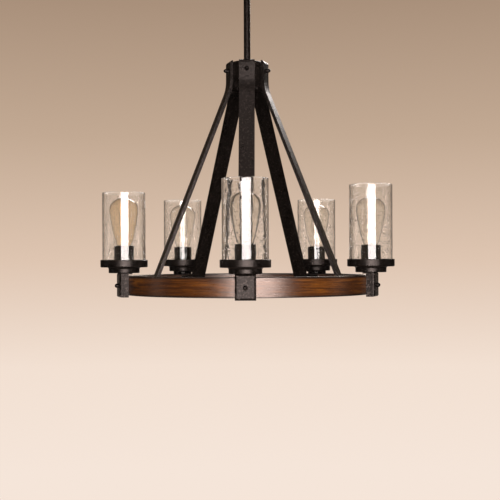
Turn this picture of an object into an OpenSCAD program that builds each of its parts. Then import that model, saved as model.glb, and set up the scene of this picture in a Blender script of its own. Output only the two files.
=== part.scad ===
// Five-light ring chandelier: a bentwood ring on five bent flat arms, with a lamp in a glass cylinder at each.
// Millimetres. The origin is on the axis at the ceiling face of the mounting bar, +Z up, and lamp 1 is on -Y.
// Heights of the fixture itself are measured from the top of the pans' rims.

/* [Ceiling end] */
// Distance between the two outlet box screws
box_screw_spacing = 88.9; // [70:0.1:90]
// Diameter of the holes for those screws
box_screw_hole_d = 4.8; // [4.4:0.1:5.4]
// Length of the mounting bar
bar_l = 104; // [98:1:112]
// Width of the mounting bar
bar_w = 22; // [18:1:30]
// Thickness of the mounting bar
bar_t = 2.5; // [1.5:0.1:4]
// Diameter of the canopy
canopy_d = 127; // [120:1:160]
// Height of the canopy
canopy_h = 25.4; // [22:0.1:40]
// Wall of the canopy
canopy_wall = 1.5; // [0.8:0.1:3]
// Radius of the canopy's rounded shoulder
canopy_round = 9; // [4:0.5:14]
// Outside diameter of the ceiling nipple
ceiling_nipple_d = 10.2; // [9.6:0.1:12]

/* [Swivel] */
// Diameter of the swivel collar
collar_d = 26; // [24:1:34]
// Diameter of the fork
fork_d = 22; // [20:1:23]
// Diameter of the fork's neck
fork_neck_d = 12; // [11:0.5:14]
// Diameter of the fork's head inside the collar
fork_head_d = 17; // [15.5:0.5:19]
// Thickness of the collar's floor that carries the head
collar_floor = 4; // [3:0.5:6]
// Thickness of the fork above its slot
fork_web = 4; // [3:0.5:8]
// Diameter of the swivel pin
swivel_pin_d = 6; // [5:0.5:8]
// Thickness of the tongue
tongue_t = 8; // [6:0.5:10]
// Width of the tongue
tongue_w = 16; // [13:0.5:18]
// Length of the socket below the tongue that takes the stem
stem_socket_l = 15; // [12:1:25]

/* [Stem and hub] */
// Length of the stem
stem_l = 305; // [150:5:900]
// Outside diameter of the stem
stem_d = 13.7; // [12:0.1:16]
// Wall of the stem
stem_wall = 2.2; // [1:0.1:2.5]
// Distance from the centre line to the hub's flats
hub_flat_r = 34.9; // [30:0.1:45]
// How far the hub's rounded corners stand past its flats
hub_corner_past = 3.6; // [2:0.1:8]
// Wall of the hub at its flats
hub_wall = 5.4; // [3.5:0.1:9]
// Height of the hub's top face above the pans' rims
hub_top_z = 402.2; // [360:0.2:450]
// Height of the hub body
hub_h = 48; // [40:1:60]
// Rise of the domed cap above the hub's top face
hub_cap_h = 10; // [7:0.5:16]
// Thickness of the cap at its edge
hub_cap_edge = 5; // [3.5:0.5:6]
// Thickness of the cover plate under the hub
hub_cover_t = 4; // [2.5:0.5:6]

/* [Arms] */
// Width of an arm
arm_w = 31.8; // [24:0.1:36]
// Thickness of an arm
arm_t = 6.4; // [6:0.1:8]
// Wall of the hollow arm
arm_wall = 1.2; // [0.8:0.1:1.3]
// How far the arms stand above the hub's top face
arm_past_hub = 6; // [5:0.5:14]
// Drop from the hub's top face to the corner that the upper bend rounds
arm_turn_drop = 49.2; // [46:0.2:60]
// Radius of the upper bend
arm_bend_r = 85; // [60:5:130]
// Length of the level foot, from its corner to the ring
foot_l = 35.8; // [30:0.2:50]
// Height of the foot above the ring's lower edge
foot_rise = 8; // [7:0.1:8.4]
// Radius of the bend above the foot
foot_bend_r = 16; // [8:1:20]
// Thickness of the end plate
end_plate_t = 4.5; // [3:0.5:6]
// How far the end plate stays inside the ring's upper and lower edges
end_plate_inset = 3.2; // [2:0.2:4]

/* [Ring] */
// Outside diameter of the ring
ring_d = 508; // [440:2:660]
// Thickness of the ring
ring_t = 14; // [10:0.5:20]
// Height of the ring
ring_h = 38.5; // [36:0.5:44]
// Drop from the pans' undersides to the ring's top
ring_drop = 6; // [5:0.2:10]
// Chamfer on the ring's edges
ring_chamfer = 1.5; // [0.5:0.1:3]

/* [Brackets] */
// Width of a bracket
bracket_w = 38.8; // [36:0.2:48]
// How far a bracket's face stands out from the ring
bracket_depth = 17; // [15:0.5:24]
// How far a bracket's top plate reaches in over the ring
bracket_shelf = 8; // [7:0.5:12]
// How far a bracket reaches below the ring
bracket_past_ring = 3.9; // [2:0.1:8]
// Wall of a bracket
bracket_wall = 2.5; // [1.5:0.1:2.5]
// Radius of a bracket's outer edges
bracket_round = 4.5; // [3:0.1:6]
// Width of the groove round a bracket's sides
bracket_groove_w = 1.8; // [0.8:0.1:2.4]
// Depth of that groove
bracket_groove_h = 1.2; // [0.4:0.1:1.2]
// Distance from a bracket's face back to that groove
bracket_groove_back = 5.8; // [5:0.2:10]
// Diameter of the bolts
bolt_d = 5; // [4:0.5:6]
// Diameter of the bolt heads
bolt_head_d = 9; // [8:0.5:12]
// Height of the bolt heads on the brackets
bolt_head_h = 7; // [3:0.5:8]
// Height of the bolt heads on the hub
hub_bolt_head_h = 9.6; // [3:0.2:11]
// Drop from the hub's top face to the hub bolts
hub_bolt_drop = 14; // [10:0.5:16]

/* [Lamps] */
// How far the lamps' axes stand behind the brackets' faces
lamp_set_back = 12; // [10.5:0.5:14]
// Wall of a pan's rim
pan_wall = 3; // [2:0.1:5]
// Height of a pan's rim
pan_rim_h = 15; // [12:0.2:18]
// Radius that rounds the rim's lower edge
pan_rim_round = 2.2; // [0.6:0.2:4]
// Depth of the recess that the glass stands in
pan_recess = 10; // [6:0.5:11]
// Diameter of the pan's foot
pan_foot_d = 61.6; // [50:0.2:70]
// Height of the pan's foot
pan_foot_h = 11.4; // [8:0.2:14]
// Radius of the cove under the rim
pan_cove_r = 3.6; // [2:0.2:5]
// Outside diameter of a socket sleeve
sleeve_d = 39; // [37:0.5:46]
// Wall of a socket sleeve
sleeve_wall = 1.4; // [0.8:0.1:1.6]
// Height of the sleeve's top above the pan's rim
sleeve_top_z = 28; // [27:0.5:40]
// Outside diameter of the lamp nipples
nipple_d = 9.8; // [9:0.2:10.4]
// Bore of the lamp nipples
nipple_bore_d = 7; // [5:0.2:7.4]
// Outside diameter of a glass cylinder
shade_d = 86.4; // [84:0.2:88]
// Wall of a glass cylinder
shade_wall = 3.2; // [2:0.1:5]
// Length of the two taller glass cylinders
shade_tall_l = 158; // [144:1:220]
// Length of the three shorter glass cylinders
shade_short_l = 144; // [142:1:200]
// Radial gap between glass and rim
shade_gap = 0.8; // [0.4:0.1:1.2]
// Largest diameter of a bulb
bulb_d = 58; // [50:1:64]
// Height of a bulb above its sleeve
bulb_h = 96; // [80:1:99]
// Height of the low dome above a bulb's widest place
bulb_dome_h = 24; // [20:1:30]
// Diameter of a bulb's screw base
bulb_base_d = 26.2; // [25:0.1:26.6]
// Diameter of a bulb's neck
bulb_neck_d = 25; // [22:0.5:26]
// How far a bulb flares out just above its neck
bulb_flare = 6.5; // [3:0.5:9]
// Wall of a bulb's glass
bulb_wall = 0.9; // [0.5:0.1:1.4]

/* [Wiring] */
// Diameter of the leads in the arms
lead_d = 3; // [2:0.1:3]
// Diameter of the supply cord in the stem
cord_d = 6.2; // [4:0.1:6.6]
// Sideways place of the leads, clear of the bolts
lead_side = 8; // [7:0.5:10]

/* [Hidden] */
lamp_count = 5;
LAMPS = [1 : lamp_count];
$fn = 96;

lamp_step = 360 / lamp_count;
first_lamp_angle = -90;
// Lamps 1 and 2, at the front and front right, carry the taller glass
shade_lengths = [for (i = LAMPS) i <= 2 ? shade_tall_l : shade_short_l];

// Clearances, each named once
fit_gap = 0.05;        // radial, shaft in its bore
bolt_gap = 0.15;       // radial, bolt in its hole
rest_gap = 0.2;        // flat faces of different bodies that bear on each other
wire_gap = 0.5;        // radial, wire in its hole
lay_gap = 0.3;         // cord laid against the stem's bore
turn_gap = 1;          // tongue's tip to the fork's slot
lip = 0.01;            // how far a cut runs past a face

// Ceiling end, from the ceiling down
lock_nut_h = 4;
lock_nut_flats = 16;
nipple_wall = 1.6;
collar_grip = 9;
collar_cavity = 6.5;
collar_top_z = -canopy_h;
nipple_bottom_z = collar_top_z - collar_grip + lay_gap;
cavity_top_z = collar_top_z - collar_grip;
cavity_floor_z = cavity_top_z - collar_cavity;
collar_bottom_z = cavity_floor_z - collar_floor;
head_bottom_z = cavity_floor_z + rest_gap;
head_top_z = cavity_top_z - 2 * rest_gap;
fork_top_z = collar_bottom_z - lay_gap;
tongue_tip_r = tongue_w / 2;
swivel_pin_z = fork_top_z - fork_web - turn_gap - tongue_tip_r;
fork_bore_d = 5;
pin_head_d = swivel_pin_d + 3;
pin_head_h = 1.6;
slot_w = tongue_t + 2 * rest_gap;
stem_shoulder_d = stem_d + 6;
shoulder_z = swivel_pin_z - fork_d / 2 - 1.5;
socket_roof = 3;
socket_bottom_z = shoulder_z - stem_socket_l - socket_roof;

// Stem and hub: the stem's end hangs just below the hub's cap, where the lock nut holds it
stem_top_z = shoulder_z - socket_roof;
stem_bottom_z = stem_top_z - stem_l;
hub_nut_h = 5.5;
hub_nut_flats = stem_d + 9;
stem_past_nut = 0.5;
rim_z = stem_bottom_z + stem_past_nut + hub_nut_h - hub_top_z;
stem_bore_r = stem_d / 2 - stem_wall;
hub_bottom_z = hub_top_z - hub_h;
hub_corner_r = hub_flat_r + hub_corner_past;
hub_bore_r = hub_flat_r - hub_wall;
hub_bolt_z = hub_top_z - hub_bolt_drop;
cap_crown_r = stem_d / 2 + 5;
cap_side_gap = 0.5;
cap_round = 3;
cover_overhang = 0.5;
screw_d = 3;
screw_head_d = 5.6;
screw_l = 12;
screw_circle_r = (hub_bore_r + hub_corner_r) / 2;

// Ring
pan_h = pan_rim_h + pan_foot_h;
ring_r = ring_d / 2;
ring_inner_r = ring_r - ring_t;
plate_back_r = ring_inner_r - end_plate_t;
ring_top_z = -pan_h - ring_drop;
ring_mid_z = ring_top_z - ring_h / 2;
ring_bottom_z = ring_top_z - ring_h;

// Arm: upright on the hub's flat, bent outwards, straight, bent level into the foot
arm_r = hub_flat_r + arm_t / 2;
arm_face_r = hub_flat_r + arm_t;
arm_top_z = hub_top_z + arm_past_hub;
arm_turn_z = hub_top_z - arm_turn_drop;
foot_z = ring_bottom_z + foot_rise;
foot_corner_r = ring_inner_r - foot_l;
arm_angle = atan((foot_corner_r - arm_r) / (arm_turn_z - foot_z));
arm_bend_z = arm_turn_z + arm_bend_r * tan(arm_angle / 2);
foot_run = foot_bend_r * tan((90 - arm_angle) / 2);
bend_steps = 10;
foot_steps = 10;
arm_plug = 6;
arm_top_round = arm_t * 0.95;
end_plate_h = ring_h - 2 * end_plate_inset;
lead_slot_h = 14;
lead_slot_w = lead_d + 2 * wire_gap + 1;
lead_in_z = arm_bend_z + 4;

// Nuts and bolts
nut_flats = bolt_d * 1.6;
nut_h = bolt_d * 0.8;
bolt_tail = 2;
hub_nut_seat_r = sqrt(pow(hub_bore_r, 2) - pow(nut_flats / 2 / cos(30), 2)) - lip;

// Brackets: their top is the pan's underside, and they reach just below the ring
bracket_top_z = -pan_h;
bracket_bottom_z = ring_bottom_z - bracket_past_ring;
bracket_h = bracket_top_z - bracket_bottom_z;
bracket_face_r = ring_r + bracket_depth;
bracket_groove_r = bracket_face_r - bracket_groove_back;
bolt_z = ring_mid_z;

// Lamp holder
pan_floor_z = -pan_recess;
lamp_r = bracket_face_r - lamp_set_back;
pan_recess_r = shade_d / 2 + shade_gap;
pan_r = pan_recess_r + pan_wall;
pan_edge = 0.8;
pan_foot_round = 1.5;
sleeve_floor = 1.2;
sleeve_lip = 1.8;
socket_d = sleeve_d - 2 * sleeve_wall - 1;
socket_bore_gap = 0.5;
socket_floor = 5;
socket_bottom = pan_floor_z + sleeve_floor;
socket_top = sleeve_top_z - sleeve_lip - 0.8;
nipple_top_z = socket_bottom + socket_floor - 1;
nipple_nut_h = 2.6;
nipple_nut_flats = nipple_d + 3;
nipple_tail = 0.2;
nipple_low_z = bracket_top_z - bracket_wall - nipple_nut_h - nipple_tail;

// Bulb
bulb_top_z = sleeve_top_z + bulb_h;
bulb_wide_z = bulb_top_z - bulb_dome_h;
contact_h = 2;
contact_d = 9;
base_low_z = socket_bottom + socket_floor + contact_h + rest_gap;
base_cone_h = 4;
base_top_z = socket_top + 1;
neck_in_base = 5;
neck_straight = 1.5;
flare_rise = 4;
wide_run = 11;
mount_foot_d = 12;
mount_d = 7;
mount_top_z = sleeve_top_z + 18;
wire_post_d = 1.6;
wire_post_top_z = bulb_wide_z + 6;
profile_steps = 16;

// Colours
BLACK = [0.10, 0.09, 0.085];
WALNUT = [0.36, 0.19, 0.10];
CLEAR = [0.85, 0.88, 0.88, 0.35];
AMBER = [0.85, 0.68, 0.42, 0.4];
BRASS = [0.72, 0.56, 0.28];
ZINC = [0.62, 0.63, 0.65];
PHENOLIC = [0.12, 0.11, 0.10];
WIRE = [0.05, 0.05, 0.05];

// Reversed list, for outlines that go out along one side and come back along the other
function reversed(list) = [for (i = [len(list) - 1 : -1 : 0]) list[i]];

// Points of an arc around c from angle a to angle b
function arc(c, r, a, b, steps) =
    [for (i = [0 : steps]) let (t = a + (b - a) * i / steps) c + r * [cos(t), sin(t)]];

// Centre line of an arm in the plane of radius and height, moved sideways by off (positive is inwards)
function arm_line(off, top) = concat(
    [[arm_r - off, top]],
    arc([arm_r + arm_bend_r, arm_bend_z], arm_bend_r + off, 180, 180 + arm_angle, bend_steps),
    let (p = [foot_corner_r, foot_z] - foot_run * [sin(arm_angle), -cos(arm_angle)])
    let (c = p + foot_bend_r * [cos(arm_angle), sin(arm_angle)])
    arc(c, foot_bend_r + off, 180 + arm_angle, 270, foot_steps)
);

// Outline of an arm's strip of thickness t from height top to radius end_r
module arm_strip(t, top, end_r)
    polygon(concat(
        arm_line(t / 2, top),
        [[end_r, foot_z - t / 2], [end_r, foot_z + t / 2]],
        reversed(arm_line(-t / 2, top))
    ));

// Children placed at lamp i, drawn with +X as the outward direction
module at_lamp(i) rotate([0, 0, first_lamp_angle + lamp_step * (i - 1)]) translate([0, 0, rim_z]) children();

// Children once for each lamp
module at_each_lamp() for (i = LAMPS) at_lamp(i) children();

// Children on the vertical axis of lamp i
module on_lamp_axis(i) at_lamp(i) translate([lamp_r, 0, 0]) children();

// Cylinder along +X from radius a to radius b
module outward(a, b, d) translate([a, 0, 0]) rotate([0, 90, 0]) cylinder(h = b - a, d = d);

// Upright cylinder from height a up to height b
module upright(a, b, d) translate([0, 0, a]) cylinder(h = b - a, d = d);

// Upright tube from height a up to height b
module tube(a, b, d, bore) difference() {
    upright(a, b, d);
    upright(a - 1, b + 1, bore);
}

// Hexagonal nut standing on height a, with its bore
module hex_nut(a, h, flats, bore) difference() {
    translate([0, 0, a]) cylinder(h = h, d = flats / cos(30), $fn = 6);
    upright(a - 1, a + h + 1, bore);
}

// Low domed bolt head on the plane x = a, with its top towards +X
module dome_head(a, h, d) translate([a, 0, 0]) rotate([0, 90, 0]) rotate_extrude()
    polygon(concat([[0, 0], [d / 2, 0]], [for (t = [0 : 10 : 80]) [d / 2 * cos(t), h * (0.3 + 0.7 * sin(t))]], [[0, h]]));

// Plan of the hub: a regular polygon with one flat per arm and rounded corners
module hub_plan(flat_r, corner_r) intersection() {
    circle(r = corner_r);
    rotate(180 / lamp_count) circle(r = flat_r / cos(180 / lamp_count), $fn = lamp_count);
}

// Ceiling end

module mounting_bar() color(ZINC) translate([0, 0, -bar_t]) difference() {
    linear_extrude(bar_t) union() {
        square([bar_l - bar_w, bar_w], center = true);
        for (s = [-1, 1]) translate([s * (bar_l - bar_w) / 2, 0]) circle(d = bar_w);
    }
    for (s = [-1, 1]) translate([s * box_screw_spacing / 2, 0, -1]) cylinder(h = bar_t + 2, d = box_screw_hole_d);
    translate([0, 0, -1]) cylinder(h = bar_t + 2, d = ceiling_nipple_d + 2 * fit_gap);
}

module ceiling_nipple() color(ZINC)
    tube(nipple_bottom_z, -lay_gap, ceiling_nipple_d, ceiling_nipple_d - 2 * nipple_wall);

module nipple_lock_nut() color(ZINC)
    hex_nut(-bar_t - lock_nut_h, lock_nut_h, lock_nut_flats, ceiling_nipple_d + 2 * fit_gap);

module canopy() color(BLACK) rotate_extrude() {
    r = canopy_d / 2;
    inner_round = canopy_round - canopy_wall;
    hole_r = ceiling_nipple_d / 2 + wire_gap;
    polygon(concat(
        [[hole_r, -canopy_h]],
        arc([r - canopy_round, canopy_round - canopy_h], canopy_round, -90, 0, 8),
        [[r, 0], [r - canopy_wall, 0]],
        arc([r - canopy_round, canopy_round - canopy_h], inner_round, 0, -90, 8),
        [[hole_r, canopy_wall - canopy_h]]
    ));
}

module swivel_collar() color(BLACK) difference() {
    rotate_extrude() polygon([
        [0, collar_top_z], [collar_d / 2, collar_top_z], [collar_d / 2, collar_bottom_z + 3],
        [collar_d / 2 - 2, collar_bottom_z], [0, collar_bottom_z]
    ]);
    upright(cavity_floor_z, collar_top_z + 1, ceiling_nipple_d + 2 * fit_gap);
    upright(cavity_floor_z, cavity_top_z, fork_head_d + 2 * rest_gap);
    upright(collar_bottom_z - 1, cavity_floor_z + 1, fork_neck_d + 2 * fit_gap);
}

// Swivel

module swivel_fork() color(BLACK) difference() {
    union() {
        upright(head_bottom_z, head_top_z, fork_head_d);
        upright(fork_top_z - 1, head_bottom_z + 1, fork_neck_d);
        upright(swivel_pin_z, fork_top_z, fork_d);
        intersection() {
            upright(swivel_pin_z - fork_d, swivel_pin_z + 1, fork_d);
            translate([0, fork_d / 2, swivel_pin_z]) rotate([90, 0, 0]) cylinder(h = fork_d, d = fork_d);
        }
    }
    translate([-fork_d, -slot_w / 2, swivel_pin_z - fork_d])
        cube([2 * fork_d, slot_w, fork_d + tongue_tip_r + turn_gap]);
    translate([0, fork_d, swivel_pin_z]) rotate([90, 0, 0])
        cylinder(h = 2 * fork_d, d = swivel_pin_d);
    upright(swivel_pin_z, head_top_z + 1, fork_bore_d);
}

module swivel_pin() color(ZINC) translate([0, 0, swivel_pin_z]) rotate([90, 0, 0]) {
    cylinder(h = fork_d, d = swivel_pin_d, center = true);
    for (s = [-1, 1]) translate([0, 0, s * (fork_d + pin_head_h) / 2])
        cylinder(h = pin_head_h, d = pin_head_d, center = true);
}

module swivel_tongue() color(BLACK) difference() {
    union() {
        translate([0, 0, swivel_pin_z]) rotate([90, 0, 0])
            cylinder(h = tongue_t, d = tongue_w, center = true);
        translate([-tongue_w / 2, -tongue_t / 2, shoulder_z - 1])
            cube([tongue_w, tongue_t, swivel_pin_z - shoulder_z + 1]);
        upright(socket_bottom_z, shoulder_z, stem_shoulder_d);
    }
    translate([0, 0, swivel_pin_z]) rotate([90, 0, 0])
        cylinder(h = 2 * tongue_t, d = swivel_pin_d + 2 * fit_gap, center = true);
    upright(socket_bottom_z - 1, stem_top_z, stem_d + 2 * fit_gap);
}

// Stem and hub

module stem() color(BLACK) tube(stem_bottom_z, stem_top_z, stem_d, 2 * stem_bore_r);

module supply_cord() color(WIRE) translate([stem_bore_r - cord_d / 2 - lay_gap, 0, 0])
    upright(stem_bottom_z - hub_nut_h, stem_top_z - 2, cord_d);

module hub_cap() color(BLACK) translate([0, 0, rim_z + hub_top_z]) difference() {
    edge_r = hub_flat_r - cap_side_gap;
    rotate_extrude() polygon(concat(
        [[0, 0], [edge_r, 0]],
        arc([edge_r - cap_round, hub_cap_edge - cap_round], cap_round, 0, 70, 4),
        [[cap_crown_r, hub_cap_h], [0, hub_cap_h]]
    ));
    upright(-1, hub_cap_h + 1, stem_d + 2 * fit_gap);
}

module hub_lock_nut() color(ZINC)
    hex_nut(rim_z + hub_top_z - hub_nut_h, hub_nut_h, hub_nut_flats, stem_d + 2 * fit_gap);

module hub_body() color(BLACK) difference() {
    rotate([0, 0, first_lamp_angle]) translate([0, 0, rim_z + hub_bottom_z])
        linear_extrude(hub_h) hub_plan(hub_flat_r, hub_corner_r);
    upright(rim_z + hub_bottom_z - 1, rim_z + hub_top_z + 1, 2 * hub_bore_r);
    at_each_lamp() {
        translate([0, 0, hub_bolt_z]) outward(hub_bore_r / 2, hub_corner_r + 1, bolt_d + 2 * bolt_gap);
        translate([0, lead_side, lead_in_z + lead_d])
            outward(hub_bore_r / 2, hub_corner_r + 1, lead_slot_w);
    }
    at_hub_corners() upright(hub_bottom_z - 1, hub_bottom_z + screw_l, screw_d);
}

// Children at the corners of the hub, halfway between the arms
module at_hub_corners() for (i = LAMPS) rotate([0, 0, lamp_step / 2]) at_lamp(i)
    translate([screw_circle_r, 0, 0]) children();

module hub_cover() color(BLACK) difference() {
    translate([0, 0, rim_z + hub_bottom_z]) rotate_extrude() polygon(concat(
        [[0, 0], [hub_corner_r + cover_overhang, 0]],
        [[hub_corner_r + cover_overhang, -hub_cover_t / 2], [hub_bore_r / 2, -hub_cover_t], [0, -hub_cover_t]]
    ));
    at_hub_corners() upright(hub_bottom_z - 2 * hub_cover_t, hub_bottom_z + 1, screw_d + 2 * bolt_gap);
    at_each_lamp() translate([hub_flat_r, -arm_w, hub_bottom_z - 2 * hub_cover_t])
        cube([arm_w, 2 * arm_w, 3 * hub_cover_t]);
}

module cover_screws() color(BLACK) at_hub_corners() {
    upright(hub_bottom_z - hub_cover_t, hub_bottom_z + screw_l - 1, screw_d);
    upright(hub_bottom_z - hub_cover_t - 1.8, hub_bottom_z - hub_cover_t, screw_head_d);
}

// Bolt along the outward direction from radius tail_r, with its head on the face at radius face_r
module radial_bolt(tail_r, face_r, head_h) union() {
    outward(tail_r, face_r + head_h / 2, bolt_d);
    dome_head(face_r, head_h, bolt_head_d);
}

module hub_bolts() color(BLACK) at_each_lamp() translate([0, 0, hub_bolt_z])
    radial_bolt(hub_nut_seat_r - nut_h - bolt_tail, arm_face_r, hub_bolt_head_h);

// Nut on a bolt along the outward direction, with its outer face at radius r
module radial_nut(r) translate([r - nut_h, 0, 0]) rotate([0, 90, 0]) rotate([0, 0, 30])
    hex_nut(0, nut_h, nut_flats, bolt_d + 2 * fit_gap);

module hub_nuts() color(ZINC) at_each_lamp() translate([0, 0, hub_bolt_z]) radial_nut(hub_nut_seat_r);

// Arms

module arm(i) color(BLACK) at_lamp(i) difference() {
    union() {
        rotate([90, 0, 0]) linear_extrude(arm_w, center = true) difference() {
            arm_strip(arm_t, arm_top_z, ring_inner_r - end_plate_t / 2);
            translate([arm_face_r - arm_top_round, arm_top_z - arm_top_round]) difference() {
                square(2 * arm_top_round);
                circle(r = arm_top_round);
            }
        }
        end_plate();
    }
    rotate([90, 0, 0]) linear_extrude(arm_w - 2 * arm_wall, center = true)
        arm_strip(arm_t - 2 * arm_wall, arm_top_z - arm_plug, plate_back_r);
    translate([0, 0, hub_bolt_z]) outward(hub_flat_r - 1, arm_face_r + 1, bolt_d + 2 * bolt_gap);
    translate([hub_flat_r - 1, lead_side - lead_slot_w / 2, lead_in_z - lead_slot_h / 2])
        cube([arm_t / 2 + 1, lead_slot_w, lead_slot_h]);
    translate([0, lead_side, foot_z]) outward(ring_inner_r - 2 * end_plate_t, ring_inner_r + 1, lead_d + 2 * wire_gap);
}

// Plate at the end of an arm, shaped to the inside of the ring, with a hole for the bolt
module end_plate() difference() {
    intersection() {
        translate([plate_back_r, -arm_w / 2, ring_mid_z - end_plate_h / 2]) cube([end_plate_t, arm_w, end_plate_h]);
        upright(ring_bottom_z, ring_top_z, 2 * ring_inner_r - 2 * fit_gap);
    }
    translate([0, 0, bolt_z]) outward(ring_inner_r - 2 * end_plate_t, ring_inner_r + 1, bolt_d + 2 * bolt_gap);
}

// Ring and brackets

module wood_ring() color(WALNUT) difference() {
    translate([0, 0, rim_z]) rotate_extrude() polygon([
        [ring_inner_r + ring_chamfer, ring_top_z], [ring_r - ring_chamfer, ring_top_z],
        [ring_r, ring_top_z - ring_chamfer], [ring_r, ring_bottom_z + ring_chamfer],
        [ring_r - ring_chamfer, ring_bottom_z], [ring_inner_r + ring_chamfer, ring_bottom_z],
        [ring_inner_r, ring_bottom_z + ring_chamfer], [ring_inner_r, ring_top_z - ring_chamfer]
    ]);
    at_each_lamp() {
        translate([0, 0, bolt_z]) outward(ring_inner_r - ring_t, ring_r + ring_t, bolt_d + 2 * bolt_gap);
        translate([0, lead_side, foot_z]) outward(ring_inner_r - ring_t, ring_r + ring_t, lead_d + 2 * wire_gap);
    }
}

// Rectangle from x = back to x = front whose two front corners are round, w wide about the x axis
module round_fronted(back, front, w, round_r) union() {
    translate([back, -w / 2]) square([front - round_r - back, w]);
    translate([back, round_r - w / 2]) square([front - back, w - 2 * round_r]);
    for (s = [-1, 1]) translate([front - round_r, s * (w / 2 - round_r)]) circle(r = round_r);
}

// Block of a bracket, smaller by inset all round: round-edged seen from above and from the side
module bracket_block(back, inset) intersection() {
    h = bracket_h - 2 * inset;
    w = bracket_w - 2 * inset;
    round_r = bracket_round - inset;
    front = bracket_face_r - inset;
    translate([0, 0, bracket_bottom_z + inset]) linear_extrude(h) round_fronted(back, front, w, round_r);
    translate([0, 0, (bracket_top_z + bracket_bottom_z) / 2]) rotate([90, 0, 0])
        linear_extrude(w, center = true) round_fronted(back, front, h, round_r);
}

// Groove round the sides of a bracket, behind its rounded edges
module bracket_groove() difference() {
    translate([bracket_groove_r - bracket_groove_w / 2, -bracket_w, bracket_bottom_z - bracket_h])
        cube([bracket_groove_w, 2 * bracket_w, 3 * bracket_h]);
    translate([ring_r, bracket_groove_h - bracket_w / 2, bracket_bottom_z + bracket_groove_h])
        cube([bracket_depth, bracket_w - 2 * bracket_groove_h, bracket_h - 2 * bracket_groove_h]);
}

module bracket(i) color(BLACK) at_lamp(i) difference() {
    bracket_block(ring_r - bracket_shelf, 0);
    bracket_block(ring_r - 2 * bracket_shelf, bracket_wall);
    bracket_groove();
    upright(bracket_bottom_z - 1, bracket_top_z - bracket_wall, 2 * ring_r + 2 * fit_gap);
    translate([0, 0, bolt_z]) outward(ring_r - ring_t, bracket_face_r + 1, bolt_d + 2 * bolt_gap);
    translate([lamp_r, 0, 0]) upright(bracket_top_z - 2 * bracket_wall, bracket_top_z + 1, nipple_d + 2 * bolt_gap);
}

module bracket_bolts() color(BLACK) at_each_lamp() translate([0, 0, bolt_z])
    radial_bolt(plate_back_r - nut_h - bolt_tail, bracket_face_r, bolt_head_h);

module bracket_nuts() color(ZINC) at_each_lamp() translate([0, 0, bolt_z])
    radial_nut(plate_back_r);

// Lamps

module pan(i) color(BLACK) on_lamp_axis(i) difference() {
    foot_r = pan_foot_d / 2;
    rotate_extrude() polygon(concat(
        [[0, pan_floor_z], [pan_recess_r, pan_floor_z], [pan_recess_r, -pan_edge / 2]],
        [[pan_recess_r + pan_edge / 2, 0], [pan_r - pan_edge, 0], [pan_r, -pan_edge]],
        arc([pan_r - pan_rim_round, pan_rim_round - pan_rim_h], pan_rim_round, 0, -90, 4),
        arc([foot_r + pan_cove_r, -pan_rim_h - pan_cove_r], pan_cove_r, 90, 180, 6),
        arc([foot_r - pan_foot_round, pan_foot_round - pan_h], pan_foot_round, 0, -90, 3),
        [[0, -pan_h]]
    ));
    upright(-pan_h - 1, pan_floor_z + 1, nipple_d + 2 * bolt_gap);
}

module lamp_nipples() color(ZINC) for (i = LAMPS) on_lamp_axis(i)
    tube(nipple_low_z, nipple_top_z, nipple_d, nipple_bore_d);

module nipple_nuts() color(ZINC) for (i = LAMPS) on_lamp_axis(i)
    hex_nut(bracket_top_z - bracket_wall - nipple_nut_h, nipple_nut_h, nipple_nut_flats, nipple_d + 2 * fit_gap);

module socket_sleeve(i) color(BLACK) on_lamp_axis(i) difference() {
    upright(pan_floor_z, sleeve_top_z, sleeve_d);
    upright(pan_floor_z + sleeve_floor, sleeve_top_z - sleeve_lip, sleeve_d - 2 * sleeve_wall);
    upright(sleeve_top_z - sleeve_lip - 1, sleeve_top_z + 1, bulb_base_d + 4 * sleeve_wall);
    upright(pan_floor_z - 1, pan_floor_z + sleeve_floor + 1, nipple_d + 2 * bolt_gap);
}

module lamp_sockets() color(PHENOLIC) for (i = LAMPS) on_lamp_axis(i) difference() {
    upright(socket_bottom, socket_top, socket_d);
    upright(socket_bottom + socket_floor, socket_top + 1, bulb_base_d + 2 * socket_bore_gap);
    upright(socket_bottom - 1, nipple_top_z, nipple_d + 2 * fit_gap);
    upright(socket_bottom, socket_bottom + socket_floor + 1, nipple_bore_d);
}

module glass_cylinder(i) color(CLEAR) on_lamp_axis(i)
    tube(pan_floor_z, pan_floor_z + shade_lengths[i - 1], shade_d, shade_d - 2 * shade_wall);

// Point at t of the cubic curve with ends a and d that leaves a towards b and reaches d from c
function cubic(a, b, c, d, t) =
    pow(1 - t, 3) * a + 3 * pow(1 - t, 2) * t * b + 3 * (1 - t) * t * t * c + pow(t, 3) * d;

// Outline of a bulb from its neck to its tip, moved inwards by off: a quick flare, a slow swell, then a low dome
function bulb_outline(off) = let (neck_r = bulb_neck_d / 2, wide_r = bulb_d / 2, swell_z = base_top_z + neck_straight)
    concat(
        [[neck_r - off, base_top_z - neck_in_base]],
        [for (k = [0 : profile_steps]) cubic([neck_r, swell_z], [neck_r + bulb_flare, swell_z + flare_rise],
            [wide_r, bulb_wide_z - wide_run], [wide_r, bulb_wide_z], k / profile_steps) - [off, 0]],
        [for (k = [1 : profile_steps - 1]) let (a = 90 * k / profile_steps)
            [(wide_r - off) * cos(a), bulb_wide_z + (bulb_top_z - bulb_wide_z - off) * sin(a)]],
        [[0, bulb_top_z - off]]
    );

module bulb_glass(i) color(AMBER) on_lamp_axis(i) rotate_extrude()
    polygon(concat(bulb_outline(0), reversed(bulb_outline(bulb_wall))));

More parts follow.
